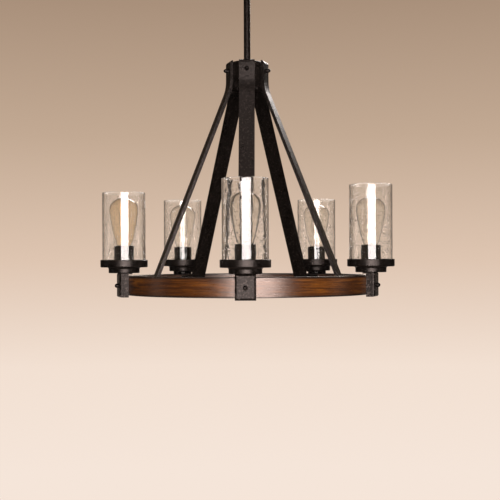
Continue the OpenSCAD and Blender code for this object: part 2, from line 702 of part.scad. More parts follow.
module bulb_base(i) color(BRASS) on_lamp_axis(i) {
    difference() {
        rotate_extrude() polygon([
            [0, base_low_z - contact_h], [contact_d / 2, base_low_z - contact_h], [contact_d / 2, base_low_z],
            [bulb_base_d / 2, base_low_z + base_cone_h], [bulb_base_d / 2, base_top_z], [0, base_top_z]
        ]);
        upright(base_top_z - neck_in_base - 1, base_top_z + 1, bulb_neck_d + 2 * fit_gap);
    }
    upright(base_top_z - neck_in_base - 2, base_top_z + 1, mount_foot_d);
    upright(base_top_z, mount_top_z, mount_d);
    upright(mount_top_z - 1, wire_post_top_z, wire_post_d);
}

// Wiring

// Route of a lead in the upright plane of its arm: hub, arm, foot, ring, bracket, lamp nipple
function lead_route() = let (line = arm_line(0, lead_in_z)) concat(
    [[hub_bore_r - 4, lead_side, lead_in_z + lead_d], [hub_flat_r - 2, lead_side, lead_in_z + lead_d],
        [arm_r - lead_d / 2, lead_side, lead_in_z + lead_d / 3]],
    [for (k = [1 : len(line) - 1]) [line[k][0], lead_side, line[k][1]]],
    [[ring_r + 2, lead_side, foot_z], [ring_r + 4, lead_side, foot_z + 1.5], [ring_r + 5.5, lead_side, foot_z + 5]],
    [[ring_r + 5.5, lead_side - 0.5, bolt_z], [lamp_r, lead_side / 2, bolt_z + 6]],
    [[lamp_r, 1, nipple_low_z - 2], [lamp_r, 0, nipple_low_z + 4], [lamp_r, 0, socket_bottom + socket_floor - 2]]
);

// Tube swept along the points of a route, with 8 sides and two flat ends
module swept(route, d) {
    sides = 8;
    n = len(route);
    side_axis = [0, 1, 0];
    rings = [for (i = [0 : n - 1]) let (
        a = route[max(i - 1, 0)], b = route[min(i + 1, n - 1)],
        along = (b - a) / norm(b - a),
        u = cross(side_axis, along) / norm(cross(side_axis, along)),
        v = cross(along, u))
        for (k = [0 : sides - 1]) let (t = 360 * k / sides) route[i] + d / 2 * (cos(t) * u + sin(t) * v)];
    walls = [for (i = [0 : n - 2]) for (k = [0 : sides - 1]) let (
        p = i * sides + k, q = i * sides + (k + 1) % sides)
        each [[p, q + sides, q], [p, p + sides, q + sides]]];
    ends = [[for (k = [0 : sides - 1]) k], [for (k = [sides - 1 : -1 : 0]) (n - 1) * sides + k]];
    polyhedron(points = rings, faces = concat(walls, ends));
}

module arm_leads() color(WIRE) at_each_lamp() swept(lead_route(), lead_d);

mounting_bar();
ceiling_nipple();
nipple_lock_nut();
canopy();
swivel_collar();
swivel_fork();
swivel_pin();
swivel_tongue();
stem();
supply_cord();
hub_cap();
hub_lock_nut();
hub_body();
hub_cover();
cover_screws();
hub_bolts();
hub_nuts();
wood_ring();
bracket_bolts();
bracket_nuts();
arm_leads();
lamp_nipples();
nipple_nuts();
lamp_sockets();
for (i = LAMPS) {
    arm(i);
    bracket(i);
    pan(i);
    socket_sleeve(i);
    glass_cylinder(i);
    bulb_glass(i);
    bulb_base(i);
}
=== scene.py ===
"""Looks of a five-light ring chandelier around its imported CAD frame.

Metres, +Z up, lamp 1 towards -Y. Every new piece sits at the origin with its place in its mesh.
"""

import math

import bpy
import numpy as np
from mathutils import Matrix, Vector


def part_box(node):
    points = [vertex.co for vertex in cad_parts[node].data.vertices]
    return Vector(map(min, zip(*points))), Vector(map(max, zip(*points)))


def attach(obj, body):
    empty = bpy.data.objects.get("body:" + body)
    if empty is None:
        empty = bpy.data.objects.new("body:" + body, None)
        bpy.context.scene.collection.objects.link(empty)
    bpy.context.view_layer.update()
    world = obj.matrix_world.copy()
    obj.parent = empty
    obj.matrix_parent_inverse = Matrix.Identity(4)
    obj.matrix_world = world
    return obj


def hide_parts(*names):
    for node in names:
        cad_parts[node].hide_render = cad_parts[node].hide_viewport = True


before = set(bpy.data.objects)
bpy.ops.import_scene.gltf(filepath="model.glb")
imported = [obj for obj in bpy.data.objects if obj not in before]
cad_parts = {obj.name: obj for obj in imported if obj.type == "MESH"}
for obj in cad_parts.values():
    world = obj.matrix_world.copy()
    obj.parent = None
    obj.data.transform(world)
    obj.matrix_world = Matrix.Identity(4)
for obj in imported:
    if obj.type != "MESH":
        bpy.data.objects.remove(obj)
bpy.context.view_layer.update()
MM = 0.001
TAU = 2 * math.pi
LAMPS = range(1, 6)
AMBER_LAMP = 5
seed_picker = np.random.default_rng(11)

# Place of each lamp: its axis is the middle of the CAD pan, and the pan's rim gives the height of the eye
PAN_BOX = {i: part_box(f"pan_{i}") for i in LAMPS}
AXIS = {i: np.array(((a.x + b.x) / 2, (a.y + b.y) / 2)) for i, (a, b) in PAN_BOX.items()}
RIM_Z = PAN_BOX[1][1].z


# Mesh making. A shape is an array of points and a list of faces

def mesh_of(name, shape, finish):
    """Mesh of a shape with one finish."""
    points, faces = shape
    mesh = bpy.data.meshes.new(name)
    mesh.from_pydata(np.asarray(points, float).tolist(), [], faces)
    mesh.materials.append(finish)
    return mesh


def placed(name, data):
    """Object of a mesh, lamp or camera, put into the scene."""
    thing = bpy.data.objects.new(name, data)
    bpy.context.scene.collection.objects.link(thing)
    return thing


def finished(name, shape, finish, body, stands_for=()):
    """A smooth piece at the origin, riding on a body, instead of the CAD nodes that it stands for."""
    mesh = mesh_of(name, shape, finish)
    mesh.polygons.foreach_set("use_smooth", np.full(len(mesh.polygons), True))
    mesh.update()
    piece = placed(name, mesh)
    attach(piece, body)
    if stands_for:
        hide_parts(*stands_for)
    return piece


def grid_faces(rows, columns, wrap_rows=False, flip=False):
    """Quads of a rows by columns grid whose columns close on themselves: corner (r, c) is point r * columns + c."""
    r, c = np.meshgrid(np.arange(rows if wrap_rows else rows - 1), np.arange(columns), indexing="ij")
    nr, nc = (r + 1) % rows, (c + 1) % columns
    quads = np.stack([r * columns + c, r * columns + nc, nr * columns + nc, nr * columns + c], -1).reshape(-1, 4)
    return quads[:, ::-1] if flip else quads


def fan(pole, ring):
    """Triangles from the point number pole to each two neighbours of a closed ring of point numbers."""
    return np.stack([np.full(len(ring), pole), ring, np.roll(ring, -1)], -1)


def turned(profile, centre, sides, closed=False, swell=None):
    """Surface of revolution: point (k, j) is centre + (r_k cos a_j, r_k sin a_j, z_k) with a_j = TAU j / sides.

    The profile runs with the solid on its left: up along the outside and down along the inside.
    An end with r = 0 is closed by a fan on one pole. swell(angle, z) is added to r.
    """
    profile = np.asarray(profile, float)
    start = 0 if closed else int(profile[0, 0] == 0)
    end = len(profile) if closed else len(profile) - int(profile[-1, 0] == 0)
    angle = TAU * np.arange(sides) / sides
    r, z = profile[start:end, 0][:, None], profile[start:end, 1][:, None]
    r = r + (swell(angle[None, :], z) if swell else 0) + 0 * angle[None, :]
    points = np.stack([centre[0] + r * np.cos(angle), centre[1] + r * np.sin(angle), z + 0 * r], -1).reshape(-1, 3)
    rows = end - start
    faces = grid_faces(rows, sides, wrap_rows=closed).tolist()
    ring = np.arange(sides)
    poles = []
    if start:
        poles.append((*centre, profile[0, 1]))
        faces += fan(len(points), ring)[:, [0, 2, 1]].tolist()
    if end < len(profile):
        faces += fan(len(points) + len(poles), (rows - 1) * sides + ring).tolist()
        poles.append((*centre, profile[-1, 1]))
    return (np.vstack([points, poles]) if poles else points), faces


def wire(path, radius, hint):
    """Six-sided wire: point (k, j) is p_k + radius (cos a_j u_k + sin a_j v_k), with u and v square to the path.

    u is also square to hint, one direction for each point that the path never follows. Both ends are closed.
    """
    sides = 6
    ahead = np.gradient(path, axis=0)
    ahead /= np.linalg.norm(ahead, axis=1)[:, None]
    u = np.cross(ahead, hint)
    u /= np.linalg.norm(u, axis=1)[:, None]
    v = np.cross(ahead, u)
    a = (TAU * np.arange(sides) / sides)[None, :, None]
    points = path[:, None] + radius * (np.cos(a) * u[:, None] + np.sin(a) * v[:, None])
    ring = np.arange(sides)
    ends = [ring[::-1].tolist(), (ring + (len(path) - 1) * sides).tolist()]
    return points.reshape(-1, 3), grid_faces(len(path), sides).tolist() + ends


def joined(*shapes):
    """Several shapes as one."""
    points, faces, first = [], [], 0
    for p, f in shapes:
        points.append(p)
        faces += [[k + first for k in face] for face in f]
        first += len(p)
    return np.vstack(points), faces


def rounded(corner_r, corner_z, radius, start, end, steps):
    """Points of a profile's arc around (corner_r, corner_z) from angle start to angle end, in degrees."""
    a = np.radians(np.linspace(start, end, steps))
    return np.stack([corner_r + radius * np.cos(a), corner_z + radius * np.sin(a)], -1)


# Material making

def material(name):
    """A new material: its node tree and its Principled shader."""
    made = bpy.data.materials.new(name)
    made.use_nodes = True
    return made, made.node_tree, made.node_tree.nodes["Principled BSDF"]


def add(tree, kind, settings=None, **sockets):
    """A node of that kind. settings are its properties, and sockets its inputs by name, or i0, i1 by number.

    Each input is a value or another node's socket.
    """
    n = tree.nodes.new(kind)
    for key, value in (settings or {}).items():
        setattr(n, key, value)
    for key, value in sockets.items():
        numbered = key[0] == "i" and key[1:].isdigit()
        place = n.inputs[int(key[1:])] if numbered else n.inputs[key.replace("_", " ")]
        if isinstance(value, bpy.types.NodeSocket):
            tree.links.new(value, place)
        else:
            place.default_value = value
    return n


def object_place(tree, scale=(1, 1, 1)):
    """Object coordinates times scale, a number for each axis."""
    where = add(tree, "ShaderNodeTexCoord").outputs["Object"]
    return add(tree, "ShaderNodeMapping", Vector=where, Scale=scale).outputs["Vector"]


def noise(tree, scale, place, detail=3.0, roughness=0.5, distortion=0.0):
    """Cloudy number around 0.5. A greater scale makes it finer."""
    return add(tree, "ShaderNodeTexNoise", Vector=place, Scale=scale, Detail=detail, Roughness=roughness,
               Distortion=distortion).outputs["Fac"]


def between(tree, value, low, high, to_low=0.0, to_high=1.0):
    """value mapped from low..high to to_low..to_high, held at its ends."""
    return add(tree, "ShaderNodeMapRange", Value=value, From_Min=low, From_Max=high, To_Min=to_low,
               To_Max=to_high).outputs["Result"]


def maths(tree, operation, a, b=0.0):
    """One operation on two numbers or sockets."""
    return add(tree, "ShaderNodeMath", {"operation": operation}, i0=a, i1=b).outputs[0]


def from_axis(tree, where):
    """Distance of a place from the vertical axis: the length of (x, y, 0)."""
    flat = add(tree, "ShaderNodeVectorMath", {"operation": "MULTIPLY"}, i0=where, i1=(1, 1, 0)).outputs[0]
    return add(tree, "ShaderNodeVectorMath", {"operation": "LENGTH"}, i0=flat).outputs["Value"]


def blended(tree, factor, a, b):
    """Colour mix of a and b."""
    return add(tree, "ShaderNodeMix", {"data_type": "RGBA"}, i0=factor, i6=a, i7=b).outputs[2]


def toned(tree, factor, stops):
    """Colour that runs with factor, 0 to 1, through stops, each a position and a colour."""
    n = add(tree, "ShaderNodeValToRGB", Fac=factor)
    elements = n.color_ramp.elements
    for element, (position, colour) in zip(elements, (stops[0], stops[-1])):
        element.position, element.color = position, colour
    for position, colour in stops[1:-1]:
        elements.new(position).color = colour
    return n.outputs["Color"]


def set_all(shader, **values):
    """Constants on the shader's own sockets."""
    for key, value in values.items():
        shader.inputs[key.replace("_", " ")].default_value = value


def link_all(tree, shader, **sockets):
    """Patterns on the shader's sockets."""
    for key, socket in sockets.items():
        tree.links.new(socket, shader.inputs[key.replace("_", " ")])


def bumped(tree, shader, height, distance, strength, under=None):
    """Relief of the surface from a pattern of height 0 to 1, over another relief if one is given."""
    n = add(tree, "ShaderNodeBump", Height=height, Distance=distance, Strength=strength)
    if under is not None:
        tree.links.new(under, n.inputs["Normal"])
    tree.links.new(n.outputs["Normal"], shader.inputs["Normal"])
    return n.outputs["Normal"]


def shown_by(tree, surface):
    """Makes a shader the one that the material shows."""
    tree.links.new(surface.outputs[0], tree.nodes["Material Output"].inputs["Surface"])


def textured_black(name, low, high, glint_tone, gloss, relief=0.6 * MM):
    """Black textured paint: pebbled grain over slow waves, brownish, with light specks painted on as highlights for
    glints off the grain, and uneven in gloss.
    """
    made, tree, shader = material(name)
    place = object_place(tree)
    grain = noise(tree, 300, place, 4, 0.7)
    patches = noise(tree, 55, place, 4, 0.6)
    # Painted highlights: light specks that stand in for glints off the pebbled grain
    glint_specks = between(tree, noise(tree, 270, place, 1), 0.56, 0.66, 0, 0.8)
    ground = blended(tree, between(tree, patches, 0.35, 0.7), low, high)
    link_all(tree, shader, Base_Color=blended(tree, glint_specks, ground, glint_tone),
             Roughness=between(tree, maths(tree, "ADD", patches, grain), 0.7, 1.3, 0.24, 0.40))
    set_all(shader, Specular_IOR_Level=gloss, Specular_Tint=(1.0, 0.86, 0.81, 1))
    slow = bumped(tree, shader, noise(tree, 130, place, 2), 0.8 * MM, 0.25)
    bumped(tree, shader, grain, relief, 0.9, slow)
    return made


def glazed_wood():
    """Dark stained wood: long streaks around the ring, burnt along its edges, under a satin glaze.

    The burnt tone grows with the height's distance from the ring's middle, over burnt_edge, a little unevenly with
    the streaks. The inside wall, by its distance from the axis within inner_wall, has a thicker coat of glaze.
    """
    made, tree, shader = material("glazed_walnut")
    low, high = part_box("wood_ring")
    middle, half = (low.z + high.z) / 2, (high.z - low.z) / 2
    burnt_edge = half - 5.2 * MM, half - 1.6 * MM
    inner_wall = high.x - 9.5 * MM, high.x - 6.5 * MM
    streaks = noise(tree, 1, object_place(tree, (13, 13, 230)), 5, 0.62, 0.6)
    grain = noise(tree, 1, object_place(tree, (60, 60, 1300)), 4, 0.6, 0.2)
    clouds = noise(tree, 9, object_place(tree, (1, 1, 1.6)), 2, 0.5)
    colour = toned(tree, between(tree, streaks, 0.28, 0.72), (
        (0.0, (0.030, 0.0085, 0.0018, 1)), (0.35, (0.085, 0.024, 0.0030, 1)),
        (0.62, (0.175, 0.053, 0.0055, 1)), (1.0, (0.34, 0.115, 0.012, 1))))
    colour = blended(tree, between(tree, grain, 0.50, 0.68, 0, 0.55), colour, (0.022, 0.0065, 0.0015, 1))
    colour = blended(tree, between(tree, clouds, 0.38, 0.62, 0.0, 0.6), colour, (0.042, 0.012, 0.0030, 1))
    where = add(tree, "ShaderNodeTexCoord").outputs["Object"]
    height = add(tree, "ShaderNodeSeparateXYZ", Vector=where).outputs["Z"]
    away = maths(tree, "ABSOLUTE", maths(tree, "SUBTRACT", height, middle))
    uneven = between(tree, streaks, 0.3, 0.7, -1.6 * MM, 1.6 * MM)
    burnt = between(tree, maths(tree, "ADD", away, uneven), *burnt_edge)
    inside = between(tree, from_axis(tree, where), *inner_wall, 1.0, 0.0)
    link_all(tree, shader, Base_Color=blended(tree, burnt, colour, (0.010, 0.0055, 0.0040, 1)),
             Roughness=between(tree, grain, 0.3, 0.7, 0.24, 0.38), Coat_Weight=inside)
    set_all(shader, IOR=1.56, Specular_IOR_Level=1.0, Specular_Tint=(1.0, 0.82, 0.74, 1),
            Coat_Roughness=0.5, Coat_IOR=1.85)
    bumped(tree, shader, maths(tree, "ADD", grain, streaks), 0.22 * MM, 0.7)
    return made


def clear_glass(name, tint, shadow=(0.93, 0.93, 0.92, 1), index=1.5, roughness=0.0, ripple=160, strength=0.1):
    """Slightly uneven glass, with tint the colour of what is seen through two of its faces.

    Shadow rays go straight through, tinted by shadow at each face, so that what stands inside is lit.
    """
    made, tree, shader = material(name)
    set_all(shader, Base_Color=tint, Roughness=roughness, IOR=index, Transmission_Weight=1.0)
    bumped(tree, shader, noise(tree, ripple, object_place(tree, (1, 1, 0.7)), 2), 0.1 * MM, strength)
    clear = add(tree, "ShaderNodeBsdfTransparent", Color=shadow)
    path = add(tree, "ShaderNodeLightPath").outputs
    shown_by(tree, add(tree, "ShaderNodeMixShader", i0=path["Is Shadow Ray"], i1=shader.outputs[0],
                       i2=clear.outputs[0]))
    return made


def bright_metal(name, low, high, roughness):
    """Plated metal with two close tones in clouds and a fine uneven gloss."""
    made, tree, shader = material(name)
    place = object_place(tree)
    grain = noise(tree, 900, place, 3)
    link_all(tree, shader, Base_Color=blended(tree, between(tree, noise(tree, 90, place), 0.3, 0.7), low, high),
             Roughness=between(tree, grain, 0.3, 0.7, roughness - 0.06, roughness + 0.08))
    set_all(shader, Metallic=1.0)
    bumped(tree, shader, grain, 0.06 * MM, 0.4)
    return made


def dull_plastic(name, low, high, roughness):
    """Moulded plastic with two close tones in clouds and a faint matt grain."""
    made, tree, shader = material(name)
    place = object_place(tree)
    grain = noise(tree, 1400, place, 2)
    link_all(tree, shader, Base_Color=blended(tree, between(tree, noise(tree, 40, place), 0.3, 0.7), low, high),
             Roughness=between(tree, grain, 0.3, 0.7, roughness - 0.05, roughness + 0.05))
    bumped(tree, shader, grain, 0.08 * MM, 0.5)
    return made


# Finishes. A paint has its two ground tones, the tone of its painted highlight specks, its gloss and sometimes its
# relief

PAINT = textured_black("textured_black_paint", (0.0035, 0.0026, 0.0020, 1), (0.0070, 0.0052, 0.0043, 1),
                       (0.034, 0.026, 0.023, 1), 0.30)
PAN_PAINT = textured_black("smooth_black_paint", (0.0035, 0.0026, 0.0020, 1), (0.0070, 0.0052, 0.0043, 1),
                           (0.022, 0.017, 0.015, 1), 0.35, 0.4 * MM)
# Brackets: the black paint with bright specks, painted highlights that stand in for glints off its grain
GLINT_SPECK_PAINT = textured_black("glint_specked_black_paint", (0.0030, 0.0022, 0.0017, 1), (0.0065, 0.0048, 0.0040, 1),
                            (0.105, 0.082, 0.073, 1), 0.25)
# Socket sleeves: the same black paint made darker, painted shade that offsets the extra light they get through the
# glass
SHADED_SLEEVE_PAINT = textured_black("sleeve_black_paint_shaded", (0.0012, 0.0009, 0.0007, 1), (0.0022, 0.0017, 0.0014, 1),
                              (0.008, 0.006, 0.005, 1), 0.08)
WOOD = glazed_wood()
SEEDED = clear_glass("seeded_clear_glass", (1.0, 1.0, 0.995, 1), ripple=380, strength=0.35)
AMBER = clear_glass("amber_bulb_glass", (0.995, 0.932, 0.822, 1), (0.9, 0.83, 0.72, 1), 1.42)
PALE = clear_glass("pale_bulb_glass", (1.0, 0.992, 0.968, 1), (0.93, 0.90, 0.85, 1), 1.4)
STEM_GLASS = clear_glass("stem_glass", (0.95, 0.96, 0.95, 1), roughness=0.05)
ZINC = bright_metal("zinc_plate", (0.42, 0.42, 0.43, 1), (0.56, 0.56, 0.57, 1), 0.36)
BLACK_ZINC = bright_metal("black_zinc_plate", (0.045, 0.042, 0.040, 1), (0.075, 0.070, 0.066, 1), 0.45)
BRASS = bright_metal("brass_shell", (0.62, 0.42, 0.16, 1), (0.76, 0.55, 0.25, 1), 0.30)
SOLDER = bright_metal("solder_tip", (0.50, 0.50, 0.50, 1), (0.62, 0.62, 0.61, 1), 0.42)
TUNGSTEN = bright_metal("tungsten_wire", (0.30, 0.27, 0.24, 1), (0.40, 0.36, 0.32, 1), 0.45)
PHENOLIC = dull_plastic("socket_phenolic", (0.012, 0.011, 0.010, 1), (0.022, 0.020, 0.018, 1), 0.42)
CORD = dull_plastic("cord_jacket", (0.010, 0.010, 0.010, 1), (0.018, 0.018, 0.018, 1), 0.5)

# Each CAD node has the finish of the first row that its name starts with, and otherwise the black paint
FINISHES = [
    (("mounting_bar", "ceiling_nipple", "nipple_lock_nut", "swivel_pin", "hub_lock_nut", "hub_nuts",
      "bracket_nuts"), ZINC),
    (("lamp_nipples", "nipple_nuts"), BLACK_ZINC),
    (("socket_sleeve_",), SHADED_SLEEVE_PAINT),
    (("pan_",), PAN_PAINT),
    (("bracket_",), GLINT_SPECK_PAINT),
    (("wood_ring",), WOOD),
    (("supply_cord", "arm_leads"), CORD),
    (("lamp_sockets",), PHENOLIC),
    (("glass_cylinder_",), SEEDED),
    (("bulb_glass_",), AMBER),
    (("bulb_base_",), BRASS),
]
for name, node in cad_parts.items():
    finish = next((m for starts, m in FINISHES if name.startswith(starts)), PAINT)
    node.data.materials.clear()
    node.data.materials.append(finish)


# Glass cylinders. Their waves fit in the outermost 0.12 mm of the CAD tube, and their seeds end 3 mm from its lips

GLASS_WALL, LIP_R = 3.2 * MM, 1.1 * MM
WAVE_ROOM, SEED_ROOM = 0.12 * MM, 3 * MM
WALL_ROWS, WALL_SIDES = 84, 160
WAVES, WAVE_HEIGHT = 26, 0.016 * MM

# Seeds: the cells of their net, the share of cells with one, and their half sizes outwards, sideways and up in mm

SEED_CELL, SEED_SHARE, SEED_SIDES = (3.4 * MM, 3.6 * MM), 0.62, 6
SEED_HALVES, SEED_LIMITS, SEED_THICKEST = (0.42, 0.50, 0.62), (0.15, 1.3), 0.8


def wavy(seed):
    """Slow and fine waves of a hand-drawn tube: a sum of sines h sin(n a + k z + p), together at most 0.12 mm high.

    n is whole, so the waves close round the cylinder. The height h falls off as n and k grow.
    """
    pick = np.random.default_rng(seed)
    around = pick.integers(3, 34, WAVES)
    along = pick.uniform(25, 420, WAVES) * pick.choice([-1, 1], WAVES)
    phase = pick.uniform(0, TAU, WAVES)
    height = WAVE_HEIGHT * pick.uniform(0.4, 1.0, WAVES) / (1 + (around / 22) ** 2 + (along / 420) ** 2)

    def swell(angle, z):
        total = 0 * angle + 0 * z
        for n, k, p, h in zip(around, along, phase, height):
            total = total + h * np.sin(n * angle + k * z + p)
        return total
    return swell


def seeds(centre, radius, low, high, pick):
    """Air seeds in a glass wall: small ellipsoids on a jittered net around the wall, faced into their air.

    Point (k, j) of a seed is its middle plus (a cos f_k cos t_j, b cos f_k sin t_j, c sin f_k) in the wall's
    outward, sideways and upward directions, with f at -50, 0 and 50 degrees and a pole below and above.
    """
    columns, rows = int(TAU * radius / SEED_CELL[0]), int((high - low) / SEED_CELL[1])
    c, r = np.meshgrid(np.arange(columns), np.arange(rows), indexing="ij")
    keep = pick.random(c.shape) < SEED_SHARE
    c, r = c[keep], r[keep]
    n = len(c)
    angle = TAU * (c + 0.5 + pick.uniform(-0.2, 0.2, n)) / columns
    z = low + SEED_CELL[1] * (r + 0.5 + pick.uniform(-0.22, 0.22, n))
    size = pick.lognormal(0, 0.6, n).clip(0.4, 2.2)
    thick, wide, tall = (half * size for half in SEED_HALVES)
    half = np.stack([thick, wide, tall * pick.uniform(0.9, 1.5, n)], -1).clip(*SEED_LIMITS) * MM
    half[:, 0] = half[:, 0].clip(0, SEED_THICKEST * MM)
    deep = radius - GLASS_WALL / 2 + pick.uniform(-0.5, 0.5, n) * MM

    f = np.radians([-50, 0, 50])[:, None]
    t = TAU * np.arange(SEED_SIDES) / SEED_SIDES
    unit = np.stack([np.cos(f) * np.cos(t), np.cos(f) * np.sin(t), np.sin(f) + 0 * t], -1)
    unit = np.vstack([unit.reshape(-1, 3), [(0, 0, -1), (0, 0, 1)]])
    local = unit[None] * half[:, None]
    out = np.stack([np.cos(angle), np.sin(angle), 0 * angle], -1)
    side = np.stack([-np.sin(angle), np.cos(angle), 0 * angle], -1)
    middle = np.stack([centre[0] + deep * np.cos(angle), centre[1] + deep * np.sin(angle), z], -1)
    points = middle[:, None] + local[..., :1] * out[:, None] + local[..., 1:2] * side[:, None]
    points[..., 2] += local[..., 2]

    ring, last = np.arange(SEED_SIDES), len(unit) - 1
    quads = grid_faces(len(f), SEED_SIDES, flip=True)
    below = fan(last - 1, ring)
    above = fan(last, ring + (len(f) - 1) * SEED_SIDES)[:, [0, 2, 1]]
    first = len(unit) * np.arange(n)[:, None, None]
    faces = (quads[None] + first).reshape(-1, 4).tolist()
    faces += (np.vstack([below, above])[None] + first).reshape(-1, 3).tolist()
    return points.reshape(-1, 3), faces


def glass_cylinder(i):
    """Open tube with wavy walls, rounded lips and seeds inside its wall.

    A point's waves are those of the outside wall and the inside wall, shared by its depth in the glass.
    """
    low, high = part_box(f"glass_cylinder_{i}")
    radius = (high.x - low.x) / 2
    outer, inner = radius - WAVE_ROOM, radius - GLASS_WALL
    bottom, top = low.z + LIP_R, high.z - LIP_R
    up = np.linspace(bottom, top, WALL_ROWS)
    profile = np.vstack([
        np.stack([np.full(WALL_ROWS, outer), up], -1),
        rounded(outer - LIP_R, top, LIP_R, 15, 90, 5),
        rounded(inner + LIP_R, top, LIP_R, 90, 165, 5),
        np.stack([np.full(WALL_ROWS, inner), up[::-1]], -1),
        rounded(inner + LIP_R, bottom, LIP_R, 195, 270, 4),
        rounded(outer - LIP_R, bottom, LIP_R, 270, 345, 4),
    ])
    share = ((profile[:, :1] - inner) / (outer - inner)).clip(0, 1)
    outside, inside = wavy(40 + i), wavy(60 + i)

    def swell(angle, z):
        return share * outside(angle, z) + (1 - share) * inside(angle, z)

    tube = turned(profile, AXIS[i], WALL_SIDES, closed=True, swell=swell)
    air = seeds(AXIS[i], radius, low.z + SEED_ROOM, high.z - SEED_ROOM, seed_picker)
    piece = finished(f"seeded_glass_{i}", joined(tube, air), SEEDED, f"glass_{i}", [f"glass_cylinder_{i}"])


# Bulbs. The glass reaches 5 mm down into the base, and its dome is 24 mm high

BULB_LOW, BULB_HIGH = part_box("bulb_glass_1")
BASE_LOW, BASE_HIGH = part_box("bulb_base_1")
WIDE_R, NECK_R, BULB_WALL = (BULB_HIGH.x - BULB_LOW.x) / 2, 12.5 * MM, 0.9 * MM
BASE_R = (BASE_HIGH.x - BASE_LOW.x) / 2
TIP_Z, BASE_TOP = BULB_HIGH.z, BULB_LOW.z + 5 * MM
SWELL_LOW, WIDE_Z = BASE_TOP + 1.5 * MM, TIP_Z - 24 * MM
BULB_SIDES, SWELL_STEPS, DOME_STEPS = 72, 30, 17


def bulb_outline(off):
    """Outline of the bulb from neck to tip, off inside: a straight neck, a cubic curve p(t), a quarter ellipse.

    p(t) = (1-t)^3 a + 3(1-t)^2 t b + 3(1-t) t^2 c + t^3 d, from the neck's top a to the widest place d.
    """
    a, b = (NECK_R, SWELL_LOW), (NECK_R + 6.5 * MM, SWELL_LOW + 4 * MM)
    c, d = (WIDE_R, WIDE_Z - 11 * MM), (WIDE_R, WIDE_Z)
    t = np.linspace(0, 1, SWELL_STEPS)[:, None]
    swell = (1 - t) ** 3 * a + 3 * (1 - t) ** 2 * t * b + 3 * (1 - t) * t ** 2 * c + t ** 3 * d
    turn = np.radians(np.linspace(0, 90, DOME_STEPS))[1:]
    dome = np.stack([(WIDE_R - off) * np.cos(turn), WIDE_Z + (TIP_Z - WIDE_Z - off) * np.sin(turn)], -1)
    dome[-1, 0] = 0
    return np.vstack([[(NECK_R - off, BULB_LOW.z)], swell - (off, 0), dome])


def bulb_shell(i):
    """Thin blown shell: the outline turned up to the tip, the same inside it facing inwards, and the neck's rim."""
    outer = turned(bulb_outline(0), AXIS[i], BULB_SIDES)
    inner = turned(bulb_outline(BULB_WALL), AXIS[i], BULB_SIDES)
    ring, n = np.arange(BULB_SIDES), len(outer[0])
    neck = np.stack([ring, ring + n, np.roll(ring, -1) + n, np.roll(ring, -1)], -1).tolist()
    points, faces = joined(outer, (inner[0], [face[::-1] for face in inner[1]]))
    tint = AMBER if i == AMBER_LAMP else PALE
    piece = finished(f"bulb_shell_{i}", (points, faces + neck), tint, f"bulb_{i}", [f"bulb_glass_{i}"])


def screw_base(i):
    """Brass screw shell of radius R - 0.5 mm + w, with w a rounded wave of pitch 3.63 mm that climbs with the angle.

    The wave fades out at both ends. Below it come the black insulator and the soldered contact.
    """
    body, centre, low = f"bulb_{i}", AXIS[i], BASE_LOW.z
    rows, pitch, depth, fade_run = 110, 3.63 * MM, 0.9 * MM, 2 * MM
    thread_low, thread_high, foot = low + 7 * MM, BASE_TOP - 4.5 * MM, low + 4.1 * MM
    wall = np.linspace(low + 6.2 * MM, BASE_TOP, rows)
    profile = np.vstack([[(0, foot), (9.0 * MM, foot)], np.stack([np.full(rows, BASE_R - 0.5 * MM), wall], -1),
                         [(BASE_R - 0.2 * MM, BASE_TOP), (0, BASE_TOP)]])

    def thread(angle, z):
        fade = ((z - thread_low) / fade_run).clip(0, 1) * ((thread_high - z) / fade_run).clip(0, 1)
        return fade * ((0.5 + 0.5 * np.sin(TAU * z / pitch - angle)) ** 0.7 - 0.5) * depth

    shell = turned(profile, centre, 64, swell=thread)
    finished(f"screw_shell_{i}", shell, BRASS, body, [f"bulb_base_{i}"])
    insulator = np.array([(0, 1.5), (4.6, 1.5), (8.9, 4.0), (0, 4.0)]) * MM + (0, low)
    finished(f"base_insulator_{i}", turned(insulator, centre, 40), PHENOLIC, body)
    contact = np.vstack([[(0, 0)], rounded(3.4, 0.9, 0.9, -90, 0, 4), [(4.3, 1.4), (0, 1.4)]]) * MM + (0, low)
    finished(f"base_contact_{i}", turned(contact, centre, 32), SOLDER, body)


# Inside of a bulb: the filament's cage, the wires, the hooks, the leads, and the glass stem's outline above the base

CAGE_LOW, CAGE_HIGH, CAGE_LOW_R, CAGE_HIGH_R = WIDE_Z - 46 * MM, WIDE_Z - 2 * MM, 8.5 * MM, 11 * MM
CAGE_CORNERS, CAGE_STEPS, CAGE_TURN, CAGE_BOW = 13, 24, 0.7, 0.9 * MM
FILAMENT_R, HOOK_R, LEAD_R, WIRE_STEPS = 0.22 * MM, 0.15 * MM, 0.25 * MM, 9
HOOK_RISE, HOOK_GAP = 1.2 * MM, 0.5 * MM
LEAD_FOOT, LEAD_SHARE = 18 * MM, 0.22
STEM_OUTLINE = np.array([(0, 0.05), (7.2, 0.05), (6.6, 2), (4.6, 6), (3.4, 11), (3.2, 16), (2.6, 18.6), (1.1, 20),
                         (0.8, 22)]) * MM


def glass_stem(i):
    """Flared glass stem on the base, with a thin rod that ends in a bead at the top of the CAD base's mount."""
    rod_top = BASE_HIGH.z
    outline = np.vstack([STEM_OUTLINE + (0, BASE_TOP), [(0.8 * MM, rod_top - 2.2 * MM)],
                         rounded(0, rod_top - 1.2 * MM, 1.15 * MM, -45, 75, 6), [(0, rod_top - 0.05 * MM)]])
    finished(f"glass_stem_{i}", turned(outline, AXIS[i], 32), STEM_GLASS, f"bulb_{i}")


